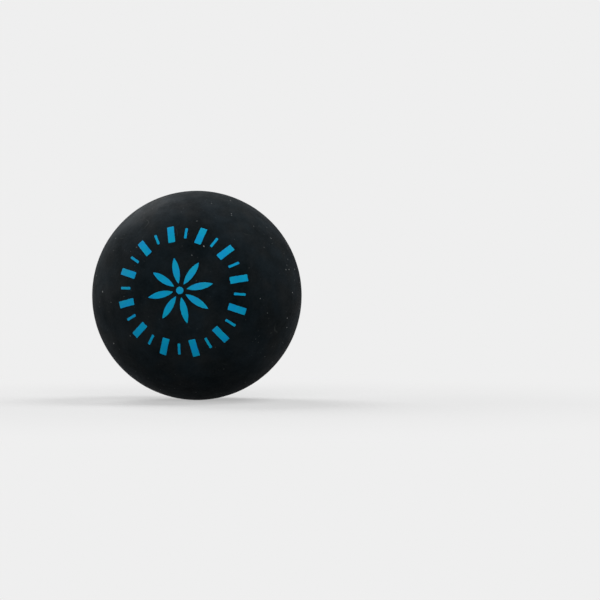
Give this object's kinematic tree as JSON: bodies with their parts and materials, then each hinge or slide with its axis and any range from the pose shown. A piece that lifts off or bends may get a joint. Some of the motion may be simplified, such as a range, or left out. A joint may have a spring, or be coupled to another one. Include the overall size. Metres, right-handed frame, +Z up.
{
  "type": "squash ball",
  "caption": "Small hollow black rubber ball for squash, made of moulded half shells cemented together, with a blue print on one side and a blue speed dot on the other.",
  "frame": {"origin": "centre of the ball", "axes": "+Z up as in the picture; +Y runs from the printed half shell through the centre to the other one, square to the seam; the line from the print to the speed dot is tilted 2.5 degrees from Y, so the print faces slightly up; the ball rests on its lowest point at z = -0.020 m"},
  "size_m": [0.04, 0.0401, 0.04],
  "materials": {
    "black_rubber": "matt black moulded rubber, buffed, with fine pale dust",
    "rubber_cement": "cured black rubber cement, buffed flush outside",
    "blue_ink": "thin stamped blue ink, satin",
    "blue_dot_paint": "thicker drop of blue paint, satin"
  },
  "bodies": {
    "root": {"front_half_shell": "black_rubber", "rear_half_shell": "black_rubber", "seam_cement": "rubber_cement", "print_bold_bars": "blue_ink", "print_thin_bars": "blue_ink", "print_rosette": "blue_ink", "speed_dot": "blue_dot_paint"}
  },
  "joints": []
}
